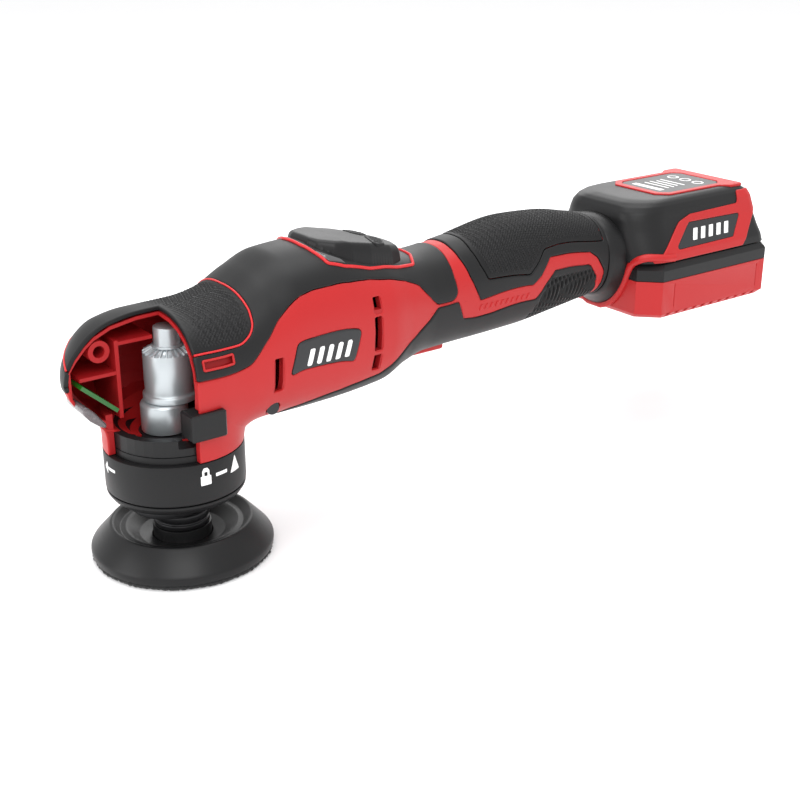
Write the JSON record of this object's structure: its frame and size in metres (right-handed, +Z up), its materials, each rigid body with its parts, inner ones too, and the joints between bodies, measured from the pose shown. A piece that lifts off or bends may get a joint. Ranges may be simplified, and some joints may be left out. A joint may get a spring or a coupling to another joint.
{
  "type": "dual action polisher",
  "caption": "Cordless dual action polisher with a cut-away head, twist-lock collar, cone-shaped backing pad and slide-on battery pack.",
  "frame": {"origin": "on the spindle axis, level with the pad's hook face", "axes": "+X from the spindle back to the battery, -Y the cut-away side, +Z up along the spindle"},
  "size_m": [0.3631, 0.075, 0.123],
  "materials": {
    "red_shell": "satin moulded, fine texture",
    "soft_grip": "matte, finely dimpled in places",
    "dark_shell": "satin moulded",
    "grey_plate": "satin",
    "clear_lens": "clear, smoke tinted",
    "bright_steel": "bright turned",
    "bearing_steel": "ground",
    "dark_steel": "black oxide",
    "copper_wire": "enamelled copper",
    "board_green": "solder mask",
    "cell_wrap": "shrink wrap",
    "pad_plate": "glass filled",
    "pad_rubber": "smooth, satin",
    "hook_fabric": "hook loops"
  },
  "bodies": {
    "housing": {"housing_left": "red_shell", "housing_right": "red_shell", "head_grip_left": "soft_grip", "head_grip_right": "soft_grip", "handle_grip_left": "soft_grip", "handle_grip_right": "soft_grip", "belly_cover_left": "dark_shell", "belly_cover_right": "dark_shell", "side_badge_left": "grey_plate", "side_badge_right": "grey_plate", "control_pod": "dark_shell", "pod_lens": "clear_lens", "battery_dock": "dark_shell", "dock_label": "grey_plate", "dock_badge_left": "grey_plate", "dock_badge_right": "grey_plate", "dock_terminals": "dark_shell", "led_board": "board_green", "led_lens": "clear_lens", "gear_case": "dark_shell", "collar_seat": "dark_shell", "collar_skirt": "dark_shell", "spindle_bearing": "bearing_steel", "stator_core": "bearing_steel", "winding_front": "copper_wire", "winding_rear": "copper_wire", "motor_bearing_front": "bearing_steel", "motor_bearing_rear": "bearing_steel", "controller_board": "board_green", "trigger_switch": "dark_shell", "housing_screw_front": "bright_steel", "housing_screw_rear": "bright_steel"},
    "spindle": {"spindle_shaft": "bright_steel", "spindle_drum": "bright_steel", "bevel_gear": "bright_steel", "counterweight": "bright_steel", "eccentric_hub": "dark_steel", "pad_bearing": "bearing_steel"},
    "pad": {"pad_shaft": "dark_steel", "pad_plate": "pad_plate", "pad_foam": "pad_rubber", "hook_face": "hook_fabric", "pad_screw": "bright_steel"},
    "rotor": {"motor_shaft": "bright_steel", "rotor_core": "bearing_steel", "cooling_fan": "dark_shell", "bevel_pinion": "bright_steel"},
    "collar": {"lock_collar": "dark_shell"},
    "spindle_lock": {"spindle_lock": "dark_shell"},
    "trigger": {"trigger": "red_shell"},
    "key_front": {"speed_key_front": "dark_shell"},
    "key_rear": {"speed_key_rear": "dark_shell"},
    "pack": {"pack_case": "red_shell", "pack_lid": "dark_shell", "cell_1": "cell_wrap", "cell_2": "cell_wrap", "cell_3": "cell_wrap", "cell_4": "cell_wrap", "pack_board": "board_green"},
    "pack_latch": {"pack_latch": "dark_shell"}
  },
  "joints": [
    {"name": "spindle_spin", "type": "hinge", "parent": "housing", "child": "spindle", "pos_m": [0, 0, 0.06], "axis": [0, 0, 1], "continuous": true},
    {"name": "rotor_spin", "type": "hinge", "parent": "housing", "child": "rotor", "pos_m": [0.05, 0, 0.092], "axis": [1, 0, 0], "continuous": true},
    {"name": "pad_spin", "type": "hinge", "parent": "spindle", "child": "pad", "pos_m": [0.00144, 0.00042, 0.03], "axis": [0, 0, 1], "continuous": true},
    {"name": "collar_turn", "type": "hinge", "parent": "housing", "child": "collar", "pos_m": [0, 0, 0.04], "axis": [0, 0, 1], "range_deg": [0, 40]},
    {"name": "spindle_lock_press", "type": "slide", "parent": "housing", "child": "spindle_lock", "axis": [0, 1, 0], "range_m": [0, 0.0015], "stiffness_N_per_m": 700, "springref_m": -0.001},
    {"name": "trigger_press", "type": "slide", "parent": "housing", "child": "trigger", "axis": [0, 0, 1], "range_m": [0, 0.002], "stiffness_N_per_m": 800, "springref_m": -0.001},
    {"name": "key_front_press", "type": "slide", "parent": "housing", "child": "key_front", "axis": [0, 0, -1], "range_m": [0, 0.0008], "stiffness_N_per_m": 1000, "springref_m": -0.0005},
    {"name": "key_rear_press", "type": "slide", "parent": "housing", "child": "key_rear", "axis": [0, 0, -1], "range_m": [0, 0.0008], "stiffness_N_per_m": 1000, "springref_m": -0.0005},
    {"name": "pack_slide", "type": "slide", "parent": "housing", "child": "pack", "axis": [1, 0, 0], "range_m": [0, 0.09]},
    {"name": "pack_latch_press", "type": "slide", "parent": "pack", "child": "pack_latch", "axis": [0, 0, -1], "range_m": [0, 0.0015], "stiffness_N_per_m": 900, "springref_m": -0.001}
  ],
  "couplings": [
    {"joint": "rotor_spin", "follows": "spindle_spin", "ratio": 2}
  ]
}
